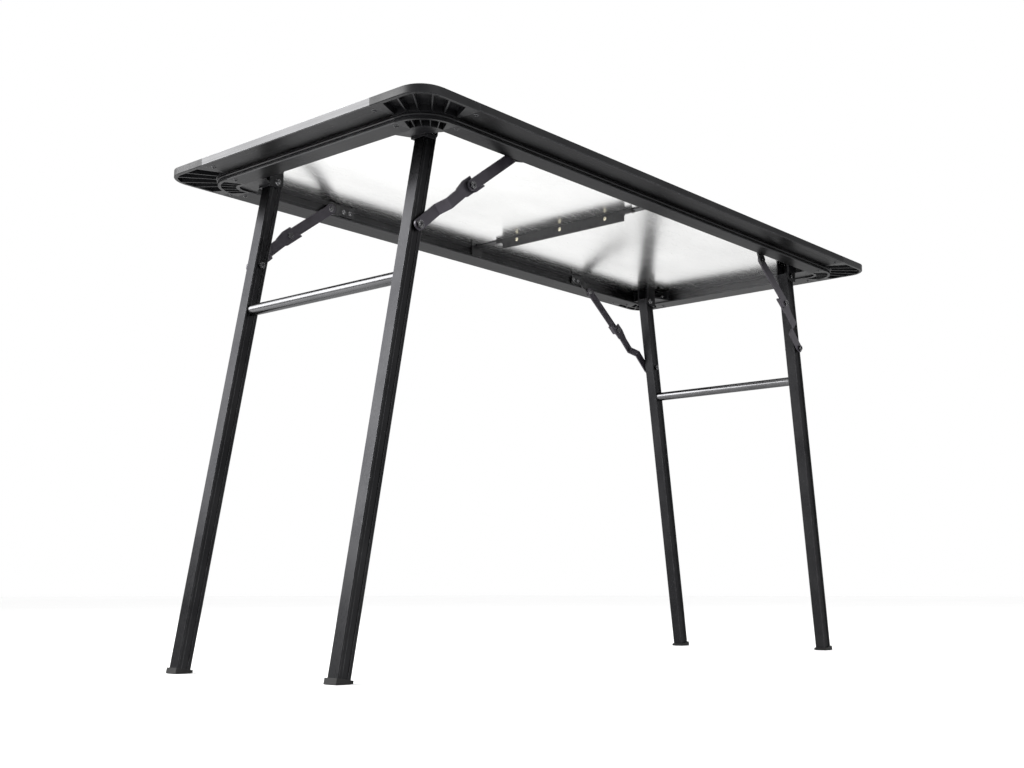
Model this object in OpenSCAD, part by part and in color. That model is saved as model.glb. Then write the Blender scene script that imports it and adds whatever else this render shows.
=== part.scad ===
// Folding camp kitchen table: a stainless sheet in an aluminium frame with moulded
// corners, on two splayed leg frames that fold up under the top. Each leg has a
// two-part folding brace. The origin is on the ground under the middle of the top,
// X runs along the length, Y across the width and Z up.

/* [Top] */
// Length of the top
top_l = 1158; // [1120:1:1200]
// Width of the top
top_w = 573; // [540:1:620]
// Height of the work surface
top_h = 742.5; // [735:0.5:760]
// Thickness of the stainless sheet
sheet_t = 1.2; // [0.8:0.1:1.5]
// Outer radius of the top's corners
corner_r = 38; // [30:1:45]

/* [Frame rails] */
// Height of the rail's outer edge
edge_h = 10.9; // [10:0.1:13]
// Width of the rail's outer flange
flange_w = 42.5; // [40:0.5:46]
// Width of the lower inner lip
lip_w = 31.6; // [30:0.1:34]
// Step from the flange down to the lip
step_h = 9.8; // [8:0.1:11]
// Wall thickness of the extrusion
wall = 1.8; // [1.5:0.1:2]
// Length of a corner moulding along each rail
corner_l = 100; // [98:1:104]

/* [Leg frames] */
// Distance of the left leg pivots from the middle of the table
left_pivot_x = 467; // [460:1:467]
// Distance of the right leg pivots from the middle of the table
right_pivot_x = 455; // [452:1:460]
// Distance of the left feet from the middle of the table
left_foot_x = 587; // [575:1:590]
// Distance of the right feet from the middle of the table
right_foot_x = 576.5; // [570:0.5:585]
// Distance of a leg's centre line from the table's long axis
leg_y = 171; // [170:0.25:171]
// Depth of the leg section along the table
leg_d = 21; // [19:0.5:21]
// Width of the leg section across the table
leg_w = 21; // [19:0.5:21]
// Depth of the left pivots below the work surface
left_drop = 14.5; // [14.5:0.5:16]
// Depth of the right pivots below the work surface
right_drop = 29.5; // [29:0.5:32]
// Height of the left crossbar above the ground
left_crossbar_z = 523.5; // [500:0.5:540]
// Height of the right crossbar above the ground
right_crossbar_z = 515.5; // [500:0.5:540]
// Diameter of the crossbars
crossbar_d = 17; // [14:0.5:18]

/* [Braces] */
// Distance of a left leg's pivot from both ends of its brace
left_brace = 136; // [132:1:142]
// Distance of a right leg's pivot from both ends of its brace
right_brace = 139; // [134:1:144]
// Distance of the knee past the straight line when the brace is locked
over_centre = 3.5; // [2:0.5:5]
// Width of the brace links
link_w = 16; // [14:0.5:16]
// Thickness of the brace links
link_t = 2.5; // [2:0.1:2.5]

/* [Crossmember] */
// Length of the full-depth part of the crossmember
web_l = 280; // [240:2:290]
// Depth of the crossmember below the work surface
web_drop = 20; // [18:0.5:21]

/* [Hidden] */
$fn = 48;
eps = 0.01;
seam = 0.05;
gap = 0.3;
run = 0.05;

half_l = top_l / 2;
half_w = top_w / 2;
frame_w = flange_w + lip_w;
rim_w = 8;
shoulder_w = 5;
shoulder_h = 2.5;
rim_z = top_h - shoulder_h;
flange_z = rim_z - edge_h;
lip_z = flange_z - step_h;
ledge_z = top_h - sheet_t;
chamber_top = ledge_z - wall;

bead_r = 1.5;
bead_z = flange_z - 3;
groove = 1.4;
groove_z = flange_z - 6.6;
channel_d = 1.2;
channel_h = 10;
channel_z = lip_z + 6;

fan = 150;
fan_reach = 230;
rib_angle = 0.35;
outer_ribs = [25.5, 34.2, 41.3, 48.7, 55.8, 64.5];
inner_ribs = [31.5, 36.5, 42, 48, 53.5, 58.5];
step_r = 48.5;
lip_r = 17;
pocket_roof = 3;
tongue_l = 25;
screw_r = 1.9;
screw_head = [3.6, 1.8];
screw_l = 5;
corner_screw_l = 8;
screw_along = 107.5;
outer_screw = 15;
inner_screw = 52;
outer_pocket = [5.5, 40];
inner_pocket = [47, 69];

pivot_x = [left_pivot_x, right_pivot_x];
foot_x = [left_foot_x, right_foot_x];
brace = [left_brace, right_brace];
crossbar_z = [left_crossbar_z, right_crossbar_z];
pivot_z = [top_h - left_drop, top_h - right_drop];
pin_r = 3;
bolt_head = [5.4, 3.3];
bolt_nut = [6, 3.8];
pin_head = [5, 2.7];
pin_nut_h = 2.6;
knee_nut = [5.6, 3.4];
nut_r = 5.2;
nut_h = 3.2;
leg_wall = 1.6;
leg_bevel = 1.2;
leg_groove_w = 9;
leg_groove_d = 0.8;
leg_above = 6;
leg_end = 3.6;
foot_h = 6;
foot_plug = 28;
foot_over = 2.5;
ear_r = 9;
ear_t = 2.5;
leg_gap = 0.4;
bracket_z = lip_z + 2.7;
bracket_t = 2.6;
bracket_inset = frame_w + 0.2;
bracket_clear = 12.8;
bracket_screws = [104.5, 122];
bracket_screw_z = bracket_z + 10;
gusset_side = 112;
gusset_end = 141;
gusset_far = 170;
ear_near = half_w - leg_y - leg_w / 2 - leg_gap - ear_t;
ear_far = half_w - leg_y + leg_w / 2 + leg_gap;

link_in = leg_y + leg_w / 2 + 3.3;
link_out = link_in + 14;
washer_t = 1.7;
washer_r = 7.5;
upper_in = link_out + link_t + washer_t + 2 * gap;
ear_in = upper_in + link_t + 0.4;
wall_y = half_w - frame_w;
joggle_start = 42;
joggle_end = 54;
rivet_r = 2.5;
rivet_base_r = 4.4;
rivet_base_h = 1.8;
stop_l = 20;
stop_t = 2.4;
knee_back = 26;
knee_front = 8.5;
knee_top = link_w / 2 + 3.4;
stop_y = upper_in + link_t + 1;
rail_bracket_z = lip_z + 11.7;
rail_bracket_l = 50;
rail_bracket_step = [12, 22];
rail_screws = [30, 43];

web_x = 2.2;
web_rivets = [-99, 3, 105];
web_rivet_z = top_h - 8.5;
web_end = 156;
web_end_drop = 8;
web_step = 4;
web_rivet_head = [3.4, 1.6];
angle_w = 14;
angle_t = 2;
end_tab = [-9, 15];
stud_y = 152;
stud_nut = [4, 2.2];

// Lean of a leg frame outwards from the vertical
function lean(s) = atan((foot_x[s] - pivot_x[s]) / pivot_z[s]);
// Distance from a leg's pivot to the ground along the leg
function reach(s) = pivot_z[s] / cos(lean(s));
// Brace bolt on the leg and brace pivot on the rail, measured inwards and up
function bolt_at(s) = [-brace[s] * sin(lean(s)), -brace[s] * cos(lean(s))];
function span(s) = norm([brace[s], 0] - bolt_at(s));
function rise(s) = atan2(-bolt_at(s)[1], brace[s] - bolt_at(s)[0]);
// Both links of a brace have this length
function link_l(s) = norm([span(s) / 2, over_centre]);
// Angle of each link to the straight line between the ends of the brace
function kink(s) = atan(2 * over_centre / span(s));
// Middle pivot of the brace
function knee_at(s) = bolt_at(s) + link_l(s) * [cos(rise(s) + kink(s)), sin(rise(s) + kink(s))];

// ---- Placing ----

// Everything is drawn for the left front corner and mirrored to the others.
module side(right, back) {
    mirror([right ? 1 : 0, 0, 0]) mirror([0, back ? 1 : 0, 0]) children();
}

module every_corner() {
    for (right = [false, true], back = [false, true]) side(right, back) children();
}

// Measured inwards from the outer corner of the top
module from_corner() {
    translate([-half_l, -half_w, 0]) children();
}

// Repeats a shape on both arms of a corner
module both_arms() {
    children();
    mirror([1, -1, 0]) children();
}

// A leg's own frame: the origin on its pivot, Z along the leg
module on_leg(s) {
    translate([-pivot_x[s], -leg_y, pivot_z[s]]) rotate([0, lean(s), 0]) children();
}

// A brace link's frame: X along the link from its lower pivot, Y outwards from the
// table's long axis, drawn on the plane of the leg pivots
module on_link(s, at, angle) {
    translate([-pivot_x[s] + at[0], 0, pivot_z[s] + at[1]]) mirror([0, 1, 0])
        rotate([0, -angle, 0]) children();
}

module on_lower(s) {
    on_link(s, bolt_at(s), rise(s) + kink(s)) children();
}

module on_upper(s) {
    on_link(s, knee_at(s), rise(s) - kink(s)) children();
}

// A cylinder along Y between two distances
module rod_y(r, from, to, sides = $fn) {
    translate([0, from, 0]) rotate([-90, 0, 0]) cylinder(r = r, h = to - from, $fn = sides);
}

// A cylinder along X between two distances
module rod_x(r, from, to) {
    translate([from, 0, 0]) rotate([0, 90, 0]) cylinder(r = r, h = to - from);
}

// A low domed head [radius, height] hanging from the plane z = 0, with a cross recess
module cross_head(size) {
    r = size[0];
    h = size[1];
    difference() {
        rotate_extrude() intersection() {
            translate([0, r * r / (2 * h) - h / 2]) circle(r = r * r / (2 * h) + h / 2);
            translate([0, -h]) square([r, h]);
        }
        for (turn = [0, 90]) rotate([0, 0, turn]) translate([0, 0, -h])
            cube([r * 1.1, r * 0.26, h], center = true);
    }
}

// A hexagon nut [radius, height] hanging from the plane z = 0, with a round collar
module collar_nut(size) {
    r = size[0];
    h = size[1];
    difference() {
        union() {
            translate([0, 0, -h * 0.62]) cylinder(r = r, h = h * 0.62, $fn = 6);
            translate([0, 0, -h]) cylinder(r1 = r * 0.7, r2 = r * 0.84, h = h);
        }
        translate([0, 0, -h - 1]) cylinder(r = r * 0.42, h = h * 0.35 + 1);
    }
}

// A pan screw: its head under z = 0 and its shank above it
module pan_screw(l) {
    cross_head(screw_head);
    translate([0, 0, -eps]) cylinder(r = screw_r, h = l);
}

// ---- Top sheet ----

module rounded_area(l, w, r) {
    square([l - 2 * r, w], center = true);
    square([l, w - 2 * r], center = true);
    for (x = [-1, 1], y = [-1, 1]) translate([x * (l / 2 - r), y * (w / 2 - r)]) circle(r = r);
}

module top_sheet() {
    inset = rim_w + 0.2;
    color("#d8d9da") translate([0, 0, ledge_z]) linear_extrude(sheet_t)
        rounded_area(top_l - 2 * inset, top_w - 2 * inset, corner_r - inset, $fn = 96);
}

// ---- Frame rails ----

// Section of the extrusion, measured inwards from the outer edge
module rail_section() {
    difference() {
        union() {
            polygon([
                [0, flange_z + 1], [1, flange_z], [flange_w, flange_z],
                [flange_w, lip_z + 1], [flange_w + 1, lip_z], [frame_w - 1, lip_z],
                [frame_w, lip_z + 1], [frame_w, ledge_z], [rim_w, ledge_z],
                [rim_w, top_h], [shoulder_w, top_h], [0, rim_z]
            ]);
            translate([flange_w, bead_z]) circle(r = bead_r);
        }
        translate([flange_w - eps, groove_z]) square([groove, groove]);
        translate([frame_w - channel_d, channel_z]) square([channel_d + 1, channel_h]);
        flange_chamber();
        lip_chamber();
    }
}

module flange_chamber(play = 0) {
    translate([wall + play, flange_z + wall + play])
        square([flange_w - 2 * wall - 2 * play, chamber_top - flange_z - wall - 2 * play]);
}

module lip_chamber(play = 0) {
    start = flange_w + 2 * wall;
    translate([start + play, lip_z + wall + play])
        square([frame_w - channel_d - wall - start - 2 * play, chamber_top - lip_z - wall - 2 * play]);
}

// A rail along X at the front, with its corner screw holes at both ends
module rail(l, edge) {
    color("#4a4b4d") difference() {
        translate([-l / 2, -edge, 0]) rotate([90, 0, 90]) linear_extrude(l) rail_section();
        for (end = [-1, 1], across = [outer_screw, inner_screw])
            translate([end * (l / 2 - screw_along + corner_l), -edge + across, lip_z - 1])
                cylinder(r = screw_r + 0.2, h = step_h + wall + 2);
        children();
    }
}

module rail_front() {
    rail(top_l - 2 * corner_l, half_w) {
        for (s = [0, 1], along = rail_screws) mirror([s, 0, 0])
            translate([brace[s] - pivot_x[s] + along, -wall_y, rail_bracket_z])
                rod_y(screw_r + 0.1, -wall - channel_d - 1, 1);
    }
}

module rail_left() {
    rotate([0, 0, -90]) rail(top_w - 2 * corner_l, half_l) {
        for (back = [0, 1], along = bracket_screws) mirror([back, 0, 0])
            translate([half_w - along, -half_l + frame_w, bracket_screw_z])
                rod_y(screw_r + 0.1, -wall - channel_d - 1, 1);
    }
}

// ---- Corner mouldings ----

// Area inwards of a rounded corner line, at a distance from both outer edges
module inside_line(edge, r, far = corner_l) {
    translate([edge + r, edge]) square([far - edge - r, far - edge]);
    translate([edge, edge + r]) square([far - edge, far - edge - r]);
    intersection() {
        translate([edge + r, edge + r]) circle(r = r, $fn = 96);
        translate([edge, edge]) square(r + eps);
    }
}

// Band between two rounded corner lines
module band(edge0, r0, edge1, r1) {
    difference() {
        inside_line(edge0, r0);
        inside_line(edge1, r1, corner_l + 1);
    }
}

// Sector of the fan that the pocket ribs belong to
module sector(a0, a1) {
    polygon([
        [fan, fan],
        [fan - fan_reach * cos(a0), fan - fan_reach * sin(a0)],
        [fan - fan_reach * cos(a1), fan - fan_reach * sin(a1)]
    ]);
}

module pockets(ribs, z0) {
    for (i = [0 : len(ribs) - 2])
        translate([0, 0, z0 - 1]) linear_extrude(ledge_z - pocket_roof - z0 + 1) intersection() {
            children();
            sector(ribs[i] + rib_angle, ribs[i + 1] - rib_angle);
        }
}

// Sweeps a section, drawn inwards from a rounded corner line, along that line
module along_corner(edge, r) {
    translate([edge + r, edge + r, 0]) rotate([0, 0, 180]) rotate_extrude(angle = 90, $fn = 96)
        translate([r, 0]) mirror([1, 0]) children();
    both_arms() translate([edge + r, edge, 0]) rotate([90, 0, 90])
        linear_extrude(corner_l - edge - r) children();
}

module corner_outer_section() {
    polygon([
        [0, flange_z + 1], [1, flange_z], [shoulder_w, flange_z], [shoulder_w, ledge_z],
        [rim_w, ledge_z], [rim_w, top_h], [shoulder_w, top_h], [0, rim_z]
    ]);
}

module tongue() {
    translate([corner_l - eps, 0, 0]) rotate([90, 0, 90]) linear_extrude(tongue_l) {
        flange_chamber(0.2);
        lip_chamber(0.2);
    }
}

module corner_moulding() {
    color("#1c1c1d") from_corner() difference() {
        union() {
            along_corner(0, corner_r) corner_outer_section();
            translate([0, 0, flange_z]) linear_extrude(ledge_z - flange_z)
                band(shoulder_w - 1, corner_r - shoulder_w + 1, flange_w + 2, step_r - 2);
            translate([0, 0, lip_z]) linear_extrude(ledge_z - lip_z)
                band(flange_w, step_r, frame_w, lip_r);
            along_corner(flange_w, step_r) translate([0, bead_z]) circle(r = bead_r, $fn = 24);
            both_arms() tongue();
        }
        along_corner(flange_w, step_r) translate([-1, groove_z]) square([groove + 1, groove]);
        translate([0, 0, channel_z]) linear_extrude(channel_h)
            band(frame_w - channel_d, lip_r + channel_d, frame_w + 2, lip_r - 2);
        pockets(outer_ribs, flange_z)
            band(outer_pocket[0], corner_r - outer_pocket[0], outer_pocket[1], step_r + 2.5);
        pockets(inner_ribs, lip_z) band(inner_pocket[0], step_r - 4.5, inner_pocket[1], lip_r + 5);
        both_arms() for (across = [outer_screw, inner_screw])
            translate([screw_along, across, lip_z - 1])
                cylinder(r = screw_r + 0.1, h = chamber_top - lip_z + 2);
    }
}

module corner_screws() {
    color("#2c2c2e") every_corner() from_corner() both_arms() {
        translate([screw_along, outer_screw, flange_z]) pan_screw(corner_screw_l);
        translate([screw_along, inner_screw, lip_z]) pan_screw(corner_screw_l);
    }
}

// ---- Leg brackets ----

// Distance from the end of the top to the plate behind a leg
function bracket_back(s) = half_l - pivot_x[s] - bracket_clear;

// Outline of the gusset that fills the corner behind the leg
module gusset_area(s) {
    back = bracket_back(s);
    intersection() {
        inside_line(bracket_inset, lip_r, gusset_far);
        polygon([
            [0, 0], [gusset_side, 0], [gusset_side, bracket_inset], [back, ear_near],
            [back, ear_far + ear_t], [bracket_inset, gusset_end], [0, gusset_end]
        ]);
    }
}

// Ear that carries the pivot bolt
module bracket_ear(s, at) {
    depth = bracket_clear + ear_t;
    translate([half_l - pivot_x[s], at, pivot_z[s]]) difference() {
        union() {
            rod_y(ear_r, 0, ear_t);
            translate([-depth, 0, 0]) cube([depth + ear_r, ear_t, ledge_z - gap - pivot_z[s]]);
            translate([-depth, 0, -ear_r]) cube([depth, ear_t, ear_r + 1]);
        }
        rod_y(pin_r + run, -1, ear_t + 1);
    }
}

module leg_bracket(s) {
    low = pivot_z[s] - ear_r;
    color("#18181a") from_corner() difference() {
        union() {
            translate([0, 0, bracket_z]) linear_extrude(bracket_t) gusset_area(s);
            translate([0, 0, bracket_z]) linear_extrude(ledge_z - gap - bracket_z) difference() {
                gusset_area(s);
                inside_line(bracket_inset + bracket_t, lip_r - bracket_t, gusset_far + 1);
            }
            translate([bracket_back(s) - ear_t, ear_near, min(low, bracket_z)])
                cube([ear_t, ear_far + ear_t - ear_near, ledge_z - gap - min(low, bracket_z)]);
            bracket_ear(s, ear_near);
            bracket_ear(s, ear_far);
        }
        for (along = bracket_screws) translate([bracket_inset, along, bracket_screw_z])
            rod_x(screw_r + 0.1, -1, bracket_t + 1);
    }
}

module leg_bracket_screws() {
    color("#b9babb") every_corner() from_corner() for (along = bracket_screws)
        translate([bracket_inset + bracket_t, along, bracket_screw_z]) rotate([0, -90, 0])
            pan_screw(screw_l);
}

// Bolt through both ears and the leg, with its head on the inner side
module leg_pivot_bolts() {
    color("#c4c5c6") for (s = [0, 1], back = [false, true]) side(s == 1, back)
        from_corner() translate([half_l - pivot_x[s], 0, pivot_z[s]]) {
            rod_y(pin_r, ear_near - nut_h - 0.5, ear_far + ear_t + eps);
            translate([0, ear_far + ear_t, 0]) rotate([90, 0, 0]) cross_head(bolt_head);
            rod_y(nut_r, ear_near - nut_h, ear_near, 6);
        }
}

// ---- Legs ----

module leg_outline(grow = 0) {
    x = leg_d / 2 + grow;
    y = leg_w / 2 + grow;
    b = leg_bevel;
    polygon([
        [x - b, y], [-x + b, y], [-x, y - b], [-x, -y + b],
        [-x + b, -y], [x - b, -y], [x, -y + b], [x, y - b]
    ]);
}

module leg_core(play = 0) {
    inset = 2 * leg_wall + 2 * play;
    square([leg_d - inset, leg_w - 2 * leg_groove_d - inset], center = true);
}

module leg_section() {
    difference() {
        leg_outline();
        for (y = [-1, 1]) translate([0, y * leg_w / 2])
            square([leg_groove_w, 2 * leg_groove_d], center = true);
        leg_core();
    }
}

module leg(s) {
    color("#222224") on_leg(s) difference() {
        translate([0, 0, leg_end - reach(s)]) linear_extrude(reach(s) - leg_end + leg_above)
            leg_section();
        rod_y(pin_r + run, -leg_w, leg_w);
        translate([0, 0, -brace[s]]) rod_y(pin_r + run, -leg_w, leg_w);
    }
}

module foot(s) {
    floor_cut = 60;
    color("#141415") difference() {
        on_leg(s) translate([0, 0, -reach(s)]) {
            difference() {
                translate([0, 0, -foot_h]) linear_extrude(2 * foot_h) leg_outline(foot_over);
                translate([0, 0, leg_end]) linear_extrude(foot_h) leg_outline(0.1);
            }
            linear_extrude(foot_plug) leg_core(0.2);
        }
        translate([-foot_x[s] - floor_cut / 2, -leg_y - floor_cut / 2, -floor_cut])
            cube(floor_cut);
    }
}

module crossbar(s) {
    inner_face = leg_y - leg_w / 2;
    color("#55565a") translate([0, leg_y, 0]) on_leg(s)
        translate([0, 0, (crossbar_z[s] - pivot_z[s]) / cos(lean(s))]) difference() {
            rod_y(crossbar_d / 2, -inner_face, inner_face);
            rod_y(crossbar_d / 2 - leg_wall, -inner_face - 1, inner_face + 1);
        }
}

// Nut and shank of the brace bolt on the inner side of each leg
module brace_nuts(s) {
    color("#c4c5c6") for (back = [false, true]) side(s == 1, back)
        on_leg(s) translate([0, 0, -brace[s]]) {
            rod_y(pin_r, -leg_w / 2 + 0.2, leg_w / 2 + nut_h + 0.5);
            rod_y(nut_r, leg_w / 2, leg_w / 2 + nut_h, 6);
        }
}

// ---- Braces ----

// Area of a flat link with round ends
module link_outline(l) {
    translate([0, -link_w / 2]) square([l, link_w]);
    for (x = [0, l]) translate([x, 0]) circle(r = link_w / 2);
}

// Extrudes an outline of a link, drawn along X and up, outwards from one distance to another
module outwards(from, to) {
    translate([0, to, 0]) rotate([90, 0, 0]) linear_extrude(to - from) children();
}

// The lower link steps outwards past the leg. At the knee it widens into a plate with a
// flange that the upper link rests on when the brace is locked.
module brace_lower(s) {
    l = link_l(s);
    half = link_w / 2;
    low = -half - 0.4 - stop_t;
    reach = l + stop_l + 5;
    color("#45424a") on_lower(s) difference() {
        union() {
            intersection() {
                translate([0, 0, -link_w]) linear_extrude(2 * link_w) polygon([
                    [-half, link_in], [joggle_start, link_in], [joggle_end, link_out],
                    [reach, link_out], [reach, link_out + link_t],
                    [joggle_end - 1, link_out + link_t], [joggle_start - 1, link_in + link_t],
                    [-half, link_in + link_t]
                ]);
                outwards(link_in - 1, link_out + link_t + 1) {
                    link_outline(l - knee_front);
                    translate([l, 0]) rotate(-2 * kink(s)) polygon([
                        [-knee_back, 2 - half], [-knee_back / 2, low], [stop_l, low],
                        [stop_l, low + stop_t], [knee_front, 0], [knee_front, knee_top],
                        [-knee_front, knee_top], [-knee_back, half - 1]
                    ]);
                }
            }
            translate([l, 0, 0]) rotate([0, 2 * kink(s), 0])
                translate([0, link_out + 1, low + seam])
                    cube([stop_l - seam, stop_y - link_out - 1, stop_t - seam]);
        }
        rod_y(pin_r + run, link_in - 1, link_in + link_t + 1);
        translate([l, 0, 0]) rod_y(rivet_r + run, link_out - 1, link_out + link_t + 1);
    }
}

// Nut, spacer and shank at the lower end of the brace
module brace_bolt(s) {
    color("#c4c5c6") on_lower(s) {
        rod_y(pin_r, leg_y + leg_w / 2 + gap, link_in + link_t + eps);
        rod_y(pin_head[0], leg_y + leg_w / 2 + gap, link_in);
        translate([0, link_in + link_t, 0]) rotate([90, 0, 0]) collar_nut(bolt_nut);
    }
}

module brace_upper(s) {
    l = link_l(s);
    color("#45424a") on_upper(s) difference() {
        outwards(upper_in, upper_in + link_t) link_outline(l);
        rod_y(rivet_r, upper_in - 1, upper_in + link_t + 1);
        translate([l, 0, 0]) rod_y(pin_r + run, upper_in - 1, upper_in + link_t + 1);
    }
}

// Rivet through both links at the knee
module brace_rivet(s) {
    color("#c4c5c6") on_upper(s) {
        rod_y(rivet_r, link_out - gap - 0.5, upper_in + link_t + eps);
        rod_y(rivet_base_r, link_out - gap - rivet_base_h, link_out - gap);
        translate([0, upper_in + link_t, 0]) rotate([90, 0, 0]) collar_nut(knee_nut);
    }
}

// Washer between the two links at the knee
module brace_washer(s) {
    color("#161617") on_upper(s) difference() {
        rod_y(washer_r, upper_in - gap - washer_t, upper_in - gap);
        rod_y(rivet_r + run, link_out, upper_in);
    }
}

// Stepped plate that holds the upper end of a brace off the rail's inner wall
module rail_bracket(s) {
    raise = rail_bracket_z - pivot_z[s];
    bend = rail_bracket_step;
    ear_y = [ear_in, ear_in + ear_t];
    base_y = [wall_y - 0.2 - ear_t, wall_y - 0.2];
    color("#2a2a2d") translate([brace[s] - pivot_x[s], 0, pivot_z[s]]) mirror([0, 1, 0])
        difference() {
            intersection() {
                translate([0, 0, -ear_r]) linear_extrude(raise + ear_r + link_w / 2) polygon([
                    [-ear_r, ear_y[0]], [bend[0], ear_y[0]], [bend[1], base_y[0]],
                    [rail_bracket_l, base_y[0]], [rail_bracket_l, base_y[1]],
                    [bend[1] - 1, base_y[1]], [bend[0] - 1, ear_y[1]], [-ear_r, ear_y[1]]
                ]);
                outwards(ear_in - 1, wall_y) {
                    circle(r = ear_r);
                    polygon([
                        [0, -ear_r], [bend[1], raise - link_w / 2], [rail_bracket_l, raise - link_w / 2],
                        [rail_bracket_l, raise + link_w / 2], [bend[1], raise + link_w / 2], [0, ear_r]
                    ]);
                }
            }
            rod_y(pin_r + run, ear_in - 1, wall_y);
            for (along = rail_screws) translate([along, 0, raise])
                rod_y(screw_r + 0.1, ear_in, wall_y);
        }
}

module rail_bracket_screws() {
    color("#b9babb") for (s = [0, 1], back = [false, true], along = rail_screws)
        side(s == 1, back)
            translate([brace[s] - pivot_x[s] + along, -wall_y + 0.2 + ear_t, rail_bracket_z])
                rotate([90, 0, 0]) pan_screw(screw_l);
}

// Pins that the upper links turn on, headed on the inner side
module brace_rail_pins() {
    color("#c4c5c6") for (s = [0, 1], back = [false, true]) side(s == 1, back)
        translate([brace[s] - pivot_x[s], 0, pivot_z[s]]) mirror([0, 1, 0]) {
            rod_y(pin_r, upper_in - gap - eps, ear_in + ear_t + pin_nut_h + 0.4);
            translate([0, upper_in - gap, 0]) rotate([-90, 0, 0]) cross_head(pin_head);
            rod_y(nut_r, ear_in + ear_t, ear_in + ear_t + pin_nut_h, 6);
        }
}

// ---- Crossmember ----

module crossmember_angle() {
    color("#55555a") difference() {
        union() {
            translate([0, -wall_y + 0.2, ledge_z - angle_t]) cube([angle_w, 2 * wall_y - 0.4, angle_t]);
            translate([0, -web_l / 2 + 2, top_h - web_drop + 2.5])
                cube([angle_t, web_l - 4, web_drop - 2.5 - sheet_t - eps]);
            for (back = [0, 1]) mirror([0, back, 0])
                translate([end_tab[0], wall_y - 0.2 - angle_t, lip_z + 2.5])
                    cube([end_tab[1] - end_tab[0], angle_t, ledge_z - lip_z - 2.5]);
        }
        for (y = web_rivets) translate([0, y, web_rivet_z]) rod_x(screw_r, -1, angle_t + 1);
        for (y = [-1, 1]) translate([angle_w / 2, y * stud_y, ledge_z - angle_t - 1])
            cylinder(r = screw_r, h = angle_t + 2);
    }
}

module crossmember_plate() {
    end_z = top_h - web_end_drop;
    step_y = web_l / 2 + web_step;
    color("#5d5d63") difference() {
        translate([-web_x, 0, 0]) rotate([90, 0, 90]) linear_extrude(angle_t) polygon([
            [-web_end, ledge_z - gap], [-web_end, end_z], [-step_y, end_z],
            [-step_y + web_step * 0.7, end_z - web_step * 0.3], [-web_l / 2, end_z - web_step],
            [-web_l / 2, top_h - web_drop], [web_l / 2, top_h - web_drop],
            [web_l / 2, end_z - web_step], [step_y - web_step * 0.7, end_z - web_step * 0.3],
            [step_y, end_z], [web_end, end_z], [web_end, ledge_z - gap]
        ]);
        for (y = web_rivets) translate([0, y, web_rivet_z]) rod_x(screw_r, -web_x - 1, 1);
    }
}

module crossmember_rivets() {
    color("#cfc7ae") for (y = web_rivets) translate([0, y, web_rivet_z]) {
        rod_x(screw_r, -web_x - eps, angle_t + 1.4);
        translate([-web_x, 0, 0]) rotate([0, 90, 0]) cross_head(web_rivet_head);
        rod_x(2.8, angle_t, angle_t + 1.4);
    }
}

// Nuts on the studs that hold the crossmember under the sheet
module crossmember_nuts() {
    color("#c4c5c6") for (y = [-1, 1]) translate([angle_w / 2, y * stud_y, ledge_z - angle_t]) {
        translate([0, 0, -stud_nut[1] - 0.8]) cylinder(r = screw_r, h = angle_t + stud_nut[1] + 0.8);
        translate([0, 0, -stud_nut[1]]) cylinder(r = stud_nut[0], h = stud_nut[1], $fn = 6);
    }
}

// ---- Nodes ----

top_sheet();
rail_front();
side(false, true) rail_front();  // rail_back
rail_left();
side(true, false) rail_left();  // rail_right
corner_moulding();  // corner_left_front
side(false, true) corner_moulding();  // corner_left_back
side(true, false) corner_moulding();  // corner_right_front
side(true, true) corner_moulding();  // corner_right_back
corner_screws();
leg_bracket(0);  // leg_bracket_left_front
side(false, true) leg_bracket(0);  // leg_bracket_left_back
side(true, false) leg_bracket(1);  // leg_bracket_right_front
side(true, true) leg_bracket(1);  // leg_bracket_right_back
leg_bracket_screws();
leg_pivot_bolts();
rail_bracket(0);  // rail_bracket_left_front
side(false, true) rail_bracket(0);  // rail_bracket_left_back
side(true, false) rail_bracket(1);  // rail_bracket_right_front
side(true, true) rail_bracket(1);  // rail_bracket_right_back
rail_bracket_screws();
brace_rail_pins();
crossmember_angle();
crossmember_plate();
crossmember_rivets();
crossmember_nuts();
leg(0);  // leg_left_front
side(false, true) leg(0);  // leg_left_back
side(true, false) leg(1);  // leg_right_front
side(true, true) leg(1);  // leg_right_back
crossbar(0);  // crossbar_left
side(true, false) crossbar(1);  // crossbar_right
foot(0);  // foot_left_front
side(false, true) foot(0);  // foot_left_back
side(true, false) foot(1);  // foot_right_front
side(true, true) foot(1);  // foot_right_back
brace_nuts(0);  // brace_nuts_left
brace_nuts(1);  // brace_nuts_right
brace_lower(0);  // brace_lower_left_front
side(false, true) brace_lower(0);  // brace_lower_left_back
side(true, false) brace_lower(1);  // brace_lower_right_front
side(true, true) brace_lower(1);  // brace_lower_right_back
brace_bolt(0);  // brace_bolt_left_front
side(false, true) brace_bolt(0);  // brace_bolt_left_back
side(true, false) brace_bolt(1);  // brace_bolt_right_front
side(true, true) brace_bolt(1);  // brace_bolt_right_back
brace_upper(0);  // brace_upper_left_front
side(false, true) brace_upper(0);  // brace_upper_left_back
side(true, false) brace_upper(1);  // brace_upper_right_front
side(true, true) brace_upper(1);  // brace_upper_right_back
brace_rivet(0);  // brace_rivet_left_front
side(false, true) brace_rivet(0);  // brace_rivet_left_back
side(true, false) brace_rivet(1);  // brace_rivet_right_front
side(true, true) brace_rivet(1);  // brace_rivet_right_back
brace_washer(0);  // brace_washer_left_front
side(false, true) brace_washer(0);  // brace_washer_left_back
side(true, false) brace_washer(1);  // brace_washer_right_front
side(true, true) brace_washer(1);  // brace_washer_right_back
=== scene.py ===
"""Camp kitchen table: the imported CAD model, dressed with materials, light and a camera.

Lengths are in metres, angles in radians, light powers in watts and colours linear.
"""

import math

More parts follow.
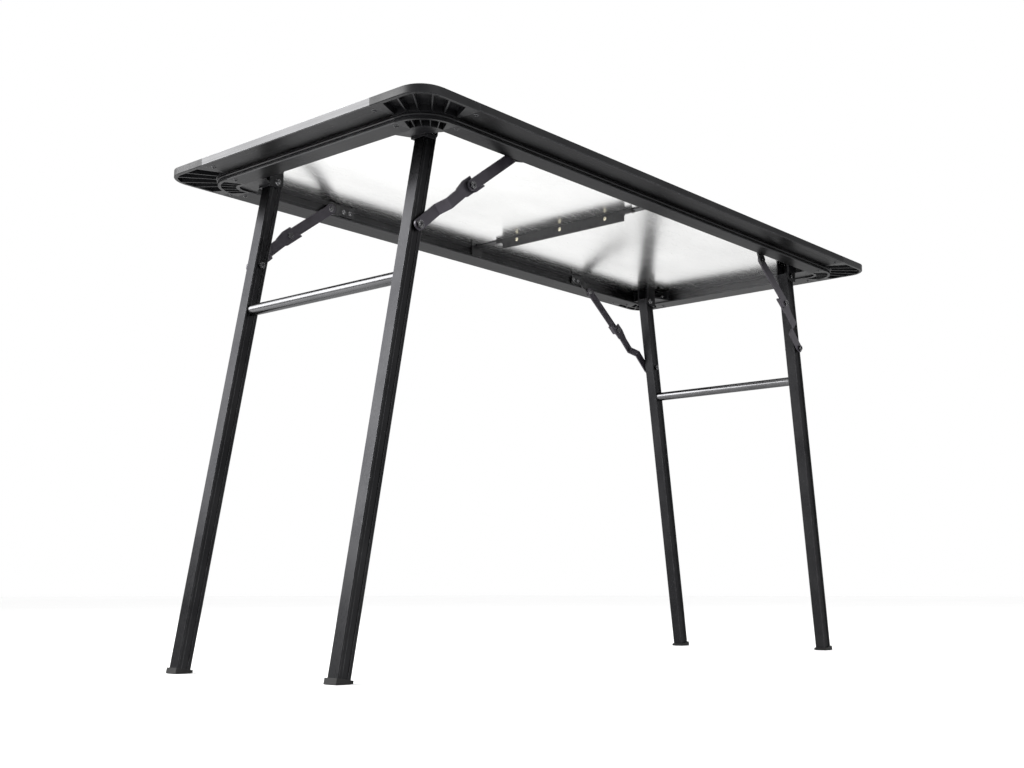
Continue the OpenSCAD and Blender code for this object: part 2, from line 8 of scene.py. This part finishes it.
import bmesh
import bpy
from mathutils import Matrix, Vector


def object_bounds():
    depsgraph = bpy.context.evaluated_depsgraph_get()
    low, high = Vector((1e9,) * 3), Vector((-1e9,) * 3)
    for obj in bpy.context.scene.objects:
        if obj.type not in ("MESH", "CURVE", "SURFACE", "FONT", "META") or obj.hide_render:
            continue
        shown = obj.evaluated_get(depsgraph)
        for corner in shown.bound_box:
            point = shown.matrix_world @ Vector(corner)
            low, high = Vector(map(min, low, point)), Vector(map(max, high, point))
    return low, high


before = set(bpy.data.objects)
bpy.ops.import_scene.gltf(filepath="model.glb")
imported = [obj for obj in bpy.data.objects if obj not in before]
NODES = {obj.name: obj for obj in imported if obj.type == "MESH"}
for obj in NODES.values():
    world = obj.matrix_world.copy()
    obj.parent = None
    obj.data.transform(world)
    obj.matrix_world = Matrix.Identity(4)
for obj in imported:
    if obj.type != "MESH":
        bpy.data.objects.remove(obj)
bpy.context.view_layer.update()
scene = bpy.context.scene

X, Y, Z = range(3)

# The camera, fitted to the edges and feet of the table in the photo
EYE = (-1.58642, -1.42333, 0.11039)
EYE_PITCH = 0.127869
EYE_HEADING = 0.659712
LENS_MM = 44.4165
SENSOR_MM = 36.0
LENS_SHIFT = (-0.134297, 0.044746)
FAR_CLIP = 200.0

# The studio
FLOOR_HALF = 30.0
FLOOR_GAP = 0.0005
FLOOR_SHADES = ((0.955, 0.955, 0.955), (0.98, 0.98, 0.98))
WORLD_WHITE = (1.0, 1.0, 1.0, 1.0)
LIGHTS = {
    "key_left": {"place": (-2.6, 2.2, 1.9), "target": (-0.3, 0, 0.6), "size": (2.6, 2.0), "power": 210},
    "fill_front": {"place": (-0.6, -3.0, 2.4), "target": (0, 0, 0.5), "size": (2.4, 1.6), "power": 40},
}

# How far the metals and the plastics mirror
METAL_TINT = (0.55, 0.55, 0.55, 1.0)
PLASTIC_SHINE = 0.16
PAPER_SHINE = 0.2

# Mix node sockets that work on colours
MIX_A, MIX_B, MIX_RESULT = 6, 7, 2


# ---- Material building blocks ----


class Build:
    """A material with a Principled shader and short helpers to add nodes."""

    def __init__(self, name, **sockets):
        self.mat = bpy.data.materials.new(name)
        self.mat.use_nodes = True
        self.tree = self.mat.node_tree
        self.shader = self.tree.nodes["Principled BSDF"]
        for socket, value in sockets.items():
            self.shader.inputs[socket.replace("_", " ")].default_value = value

    def add(self, kind, **settings):
        """Adds a node; each setting is a property of the node, or else one of its sockets."""
        node = self.tree.nodes.new("ShaderNode" + kind)
        for key, value in settings.items():
            if hasattr(node, key):
                setattr(node, key, value)
            else:
                node.inputs[key.replace("_", " ")].default_value = value
        return node

    def link(self, output, target):
        self.tree.links.new(output, target)

    def noise(self, scale, detail=3.0, rough=0.5):
        """Noise in object space; the scale is one number, or one for each axis."""
        if isinstance(scale, float):
            scale = (scale, scale, scale)
        coords = self.add("TexCoord")
        mapping = self.add("Mapping", Scale=scale)
        node = self.add("TexNoise", Scale=1.0, Detail=detail, Roughness=rough)
        self.link(coords.outputs["Object"], mapping.inputs["Vector"])
        self.link(mapping.outputs["Vector"], node.inputs["Vector"])
        return node.outputs["Fac"]

    def spread(self, value, low, high, start=0.3, end=0.7):
        """Maps a value from start..end onto low..high."""
        node = self.add("MapRange", From_Min=start, From_Max=end, To_Min=low, To_Max=high)
        self.link(value, node.inputs["Value"])
        return node.outputs["Result"]

    def blend(self, factor, a, b):
        """Mixes two colours or colour outputs by a factor output."""
        node = self.add("Mix", data_type="RGBA")
        self.link(factor, node.inputs["Factor"])
        for value, socket in ((a, node.inputs[MIX_A]), (b, node.inputs[MIX_B])):
            if isinstance(value, tuple):
                socket.default_value = (*value, 1.0)
            else:
                self.link(value, socket)
        return node.outputs[MIX_RESULT]

    def both(self, a, b, operation="MULTIPLY"):
        """Joins an output with a number or with another output."""
        node = self.add("Math", operation=operation)
        self.link(a, node.inputs[0])
        if isinstance(b, float):
            node.inputs[1].default_value = b
        else:
            self.link(b, node.inputs[1])
        return node.outputs[0]

    def edges(self, radius):
        """1 on a sharp outer edge, 0 on a flat face."""
        bevel = self.add("Bevel", samples=4)
        bevel.inputs["Radius"].default_value = radius
        geometry = self.add("NewGeometry")
        dot = self.add("VectorMath", operation="DOT_PRODUCT")
        self.link(bevel.outputs["Normal"], dot.inputs[0])
        self.link(geometry.outputs["Normal"], dot.inputs[1])
        return self.spread(dot.outputs["Value"], 1.0, 0.0, start=0.8, end=0.99)

    def recesses(self, reach):
        """0 in a tight recess, 1 in the open."""
        hollow = self.add("AmbientOcclusion", samples=4, Distance=reach)
        return self.spread(hollow.outputs["AO"], 0.0, 1.0, start=0.35, end=0.95)

    def facing_up(self):
        """1 on faces that look upwards, 0 on the others."""
        geometry = self.add("NewGeometry")
        split = self.add("SeparateXYZ")
        self.link(geometry.outputs["Normal"], split.inputs["Vector"])
        return self.spread(split.outputs["Z"], 0.0, 1.0, start=0.4, end=0.6)

    def bump(self, height, strength, distance):
        node = self.add("Bump", Strength=strength, Distance=distance)
        self.link(height, node.inputs["Height"])
        self.link(node.outputs["Normal"], self.shader.inputs["Normal"])

    def colour(self, output):
        self.link(output, self.shader.inputs["Base Color"])

    def roughness(self, output):
        self.link(output, self.shader.inputs["Roughness"])


def along(axis, fine, coarse):
    """A noise scale whose grain runs along one axis."""
    return tuple(coarse if i == axis else fine for i in range(3))


# ---- Kinds of finish, with painted highlights and painted shade ----


def anodised(name, axis, dark, light, rough, rubbed_and_highlit_colour):
    """Satin anodised extrusion: die lines along it, soft clouding, and paler edges that are partly real
    rubbing and partly a painted highlight.
    """
    m = Build(name, Metallic=1.0, Specular_Tint=METAL_TINT)
    lines = m.noise(along(axis, 1500.0, 6.0), detail=4.0)
    cloud = m.noise(14.0, detail=4.0)
    rub = m.noise(90.0)
    base = m.blend(m.spread(cloud, 0.0, 1.0), dark, light)
    # Painted highlight, partly real rubbing: every edge, broken up by noise, gets the paler edge colour.
    rubbed_and_highlit_edges = m.both(m.edges(radius=0.0007), m.spread(rub, 0.25, 1.0))
    m.colour(m.blend(rubbed_and_highlit_edges, base, rubbed_and_highlit_colour))
    m.roughness(m.both(m.spread(lines, *rough), m.spread(cloud, -0.03, 0.04), "ADD"))
    m.bump(lines, strength=0.12, distance=0.0001)
    return m.mat


def moulded(name, dark, light, rough, grain):
    """Fine-grained black plastic; every edge gets a paler colour as a painted highlight."""
    m = Build(name)
    m.shader.inputs["Specular IOR Level"].default_value = PLASTIC_SHINE
    spark = m.noise(1900.0, detail=2.0)
    cloud = m.noise(35.0)
    base = m.blend(m.spread(cloud, 0.0, 1.0), dark, light)
    # Painted highlight: every edge is blended towards a colour 3.2 times the light tone.
    painted_edge_highlight = tuple(3.2 * c for c in light)
    m.colour(m.blend(m.both(m.edges(radius=0.0008), 0.55), base, painted_edge_highlight))
    m.roughness(m.both(m.spread(spark, *rough), m.spread(cloud, -0.05, 0.05), "ADD"))
    m.bump(spark, strength=grain, distance=0.00012)
    return m.mat


def coated(name, dark, light, rough, rubbed_and_highlit_colour):
    """Powder coat on steel: orange peel, faint rubbing, and paler edges that are partly real rubbing and
    partly a painted highlight.
    """
    m = Build(name, Metallic=0.5)
    peel = m.noise(420.0, detail=2.0)
    rub = m.noise(along(Y, 60.0, 160.0), detail=5.0)
    base = m.blend(m.spread(rub, 0.0, 1.0), dark, light)
    # Painted highlight, partly real rubbing: every edge, broken up by noise, gets the paler edge colour.
    rubbed_and_highlit_edges = m.both(m.edges(radius=0.0006), m.spread(rub, 0.2, 1.0))
    m.colour(m.blend(rubbed_and_highlit_edges, base, rubbed_and_highlit_colour))
    m.roughness(m.spread(rub, *rough))
    m.bump(peel, strength=0.18, distance=0.0002)
    return m.mat


def plated(name, tint, dark, rubbed_and_highlit_rims, rough):
    """Plated or passivated fastener: bright rims that are partly real rubbing and partly a painted
    highlight, and recesses darkened as painted shade.
    """
    m = Build(name, Metallic=1.0)
    fine = m.noise(700.0)
    # Painted shade: an ambient occlusion mask darkens every tight recess towards the dark colour.
    base = m.blend(m.recesses(reach=0.002), dark, tint)
    # Painted highlight, partly real rubbing: the edges, broken up by noise, get the bright rims colour.
    rubbed_and_highlit_edges = m.both(m.edges(radius=0.0005), m.spread(fine, 0.6, 1.0))
    m.colour(m.blend(rubbed_and_highlit_edges, base, rubbed_and_highlit_rims))
    m.roughness(m.spread(fine, *rough))
    m.bump(fine, strength=0.1, distance=0.0001)
    return m.mat


def stainless(name):
    """Stainless sheet: grain along its length, faint clouds and marks; faces that point up get a darker
    colour and the faces below a paler one, as painted shade and painted light.
    """
    m = Build(name, Metallic=1.0, Anisotropic=0.35)
    grain = m.noise(along(X, 2600.0, 9.0), detail=4.0)
    cloud = m.spread(m.noise((5.0, 7.0, 5.0), detail=4.0), 0.0, 1.0)
    marks = m.noise((40.0, 220.0, 40.0), detail=6.0, rough=0.7)
    # Painted light and shade by facing direction: faces that point up get the darker pair of colours, the
    # faces below the paler pair.
    lit_lower_face = m.blend(cloud, (0.62, 0.62, 0.615), (0.74, 0.74, 0.735))
    shaded_top = m.blend(cloud, (0.33, 0.33, 0.325), (0.42, 0.42, 0.415))
    m.colour(m.blend(m.facing_up(), lit_lower_face, shaded_top))
    smear = m.spread(marks, -0.02, 0.03, start=0.45, end=0.75)
    m.roughness(m.both(m.spread(grain, 0.2, 0.29), smear, "ADD"))
    m.bump(grain, strength=0.05, distance=0.00005)
    return m.mat


def paper():
    """The pale studio floor."""
    m = Build("studio_floor", Roughness=0.85)
    m.shader.inputs["Specular IOR Level"].default_value = PAPER_SHINE
    m.colour(m.blend(m.spread(m.noise(1.5), 0.0, 1.0), *FLOOR_SHADES))
    return m.mat


# ---- The table's own materials ----

LOOKS = {
    # Painted light: both rail kinds are the same anodising, but the rails along Y get paler colours as a lit
    # copy and the rails along X darker ones as a shaded copy.
    "rail_x": anodised(
        "rail_along_x_shaded", X,
        dark=(0.026, 0.026, 0.027), light=(0.036, 0.036, 0.037), rough=(0.26, 0.38), rubbed_and_highlit_colour=(0.20, 0.20, 0.21),
    ),
    "rail_y": anodised(
        "rail_along_y_lit", Y,
        dark=(0.042, 0.042, 0.043), light=(0.058, 0.058, 0.059), rough=(0.26, 0.38), rubbed_and_highlit_colour=(0.22, 0.22, 0.23),
    ),
    "leg": anodised(
        "leg_anodised", Z,
        dark=(0.014, 0.014, 0.015), light=(0.022, 0.022, 0.023), rough=(0.24, 0.38), rubbed_and_highlit_colour=(0.20, 0.20, 0.21),
    ),
    "crossbar": anodised(
        "crossbar_anodised", Y,
        dark=(0.07, 0.07, 0.072), light=(0.10, 0.10, 0.103), rough=(0.18, 0.28), rubbed_and_highlit_colour=(0.3, 0.3, 0.3),
    ),
    "plastic": moulded(
        "corner_plastic",
        dark=(0.004, 0.004, 0.0045), light=(0.008, 0.008, 0.009), rough=(0.38, 0.52), grain=0.35,
    ),
    "foot": moulded(
        "foot_plastic",
        dark=(0.006, 0.006, 0.006), light=(0.012, 0.012, 0.012), rough=(0.42, 0.56), grain=0.5,
    ),
    "brace": coated(
        "brace_coat",
        dark=(0.024, 0.021, 0.027), light=(0.036, 0.032, 0.041), rough=(0.3, 0.45), rubbed_and_highlit_colour=(0.12, 0.11, 0.13),
    ),
    "steel": coated(
        "dark_steel_coat",
        dark=(0.012, 0.012, 0.013), light=(0.020, 0.020, 0.021), rough=(0.28, 0.42), rubbed_and_highlit_colour=(0.14, 0.14, 0.14),
    ),
    "dark_plate": plated(
        "dark_plate",
        tint=(0.05, 0.05, 0.053), dark=(0.004, 0.004, 0.004), rubbed_and_highlit_rims=(0.85, 0.85, 0.86), rough=(0.14, 0.26),
    ),
    "black_screw": plated(
        "black_screw",
        tint=(0.016, 0.016, 0.017), dark=(0.003, 0.003, 0.003), rubbed_and_highlit_rims=(0.30, 0.30, 0.31), rough=(0.2, 0.34),
    ),
    "rivet": plated(
        "passivated_rivet",
        tint=(0.62, 0.58, 0.45), dark=(0.10, 0.08, 0.05), rubbed_and_highlit_rims=(0.85, 0.80, 0.64), rough=(0.2, 0.32),
    ),
    "sheet": stainless("stainless_sheet"),
}

# The start of a node's name gives its look; the first start that fits counts
LOOK_OF = (
    ("top_sheet", "sheet"),
    ("rail_front", "rail_x"),
    ("rail_back", "rail_x"),
    ("rail_left", "rail_y"),
    ("rail_right", "rail_y"),
    ("rail_bracket_screws", "dark_plate"),
    ("rail_bracket", "steel"),
    ("corner_screws", "black_screw"),
    ("corner", "plastic"),
    ("crossmember_rivets", "rivet"),
    ("crossmember_nuts", "dark_plate"),
    ("crossmember", "steel"),
    ("leg_bracket_screws", "dark_plate"),
    ("leg_bracket", "plastic"),
    ("leg_pivot_bolts", "dark_plate"),
    ("leg", "leg"),
    ("crossbar", "crossbar"),
    ("foot", "foot"),
    ("brace_rail_pins", "dark_plate"),
    ("brace_nuts", "dark_plate"),
    ("brace_bolt", "dark_plate"),
    ("brace_rivet", "dark_plate"),
    ("brace_washer", "plastic"),
    ("brace", "brace"),
)

for name, obj in NODES.items():
    look = next(look for start, look in LOOK_OF if name.startswith(start))
    obj.data.materials.clear()
    obj.data.materials.append(LOOKS[look])

# ---- Floor, light and camera ----


def floor(below):
    """A wide square under the feet."""
    mesh = bpy.data.meshes.new("floor")
    bm = bmesh.new()
    bmesh.ops.create_grid(bm, x_segments=1, y_segments=1, size=FLOOR_HALF)
    bmesh.ops.translate(bm, vec=(0, 0, below - FLOOR_GAP), verts=bm.verts)
    bm.to_mesh(mesh)
    bm.free()
    obj = bpy.data.objects.new("floor", mesh)
    scene.collection.objects.link(obj)
    mesh.materials.append(paper())
    return obj


def area_light(name, place, target, size, power):
    data = bpy.data.lights.new(name, "AREA")
    data.shape = "RECTANGLE"
    data.size, data.size_y = size
    data.energy = power
    obj = bpy.data.objects.new(name, data)
    obj.location = place
    obj.rotation_euler = (Vector(target) - Vector(place)).to_track_quat("-Z", "Y").to_euler()
    scene.collection.objects.link(obj)


def studio_world():
    world = bpy.data.worlds.new("studio")
    world.use_nodes = True
    background = world.node_tree.nodes["Background"]
    background.inputs["Color"].default_value = WORLD_WHITE
    background.inputs["Strength"].default_value = 1.0
    scene.world = world


def photo_camera():
    camera = bpy.data.cameras.new("photo_view")
    camera.sensor_width = SENSOR_MM
    camera.lens = LENS_MM
    camera.shift_x, camera.shift_y = LENS_SHIFT
    camera.clip_end = FAR_CLIP
    obj = bpy.data.objects.new("camera", camera)
    obj.location = EYE
    obj.rotation_euler = (math.pi / 2 + EYE_PITCH, 0.0, EYE_HEADING - math.pi / 2)
    scene.collection.objects.link(obj)
    scene.camera = obj


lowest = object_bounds()[0].z
floor(lowest)
studio_world()
for name, light in LIGHTS.items():
    area_light(name, **light)
photo_camera()

scene.view_settings.view_transform = "Standard"
scene.view_settings.look = "None"
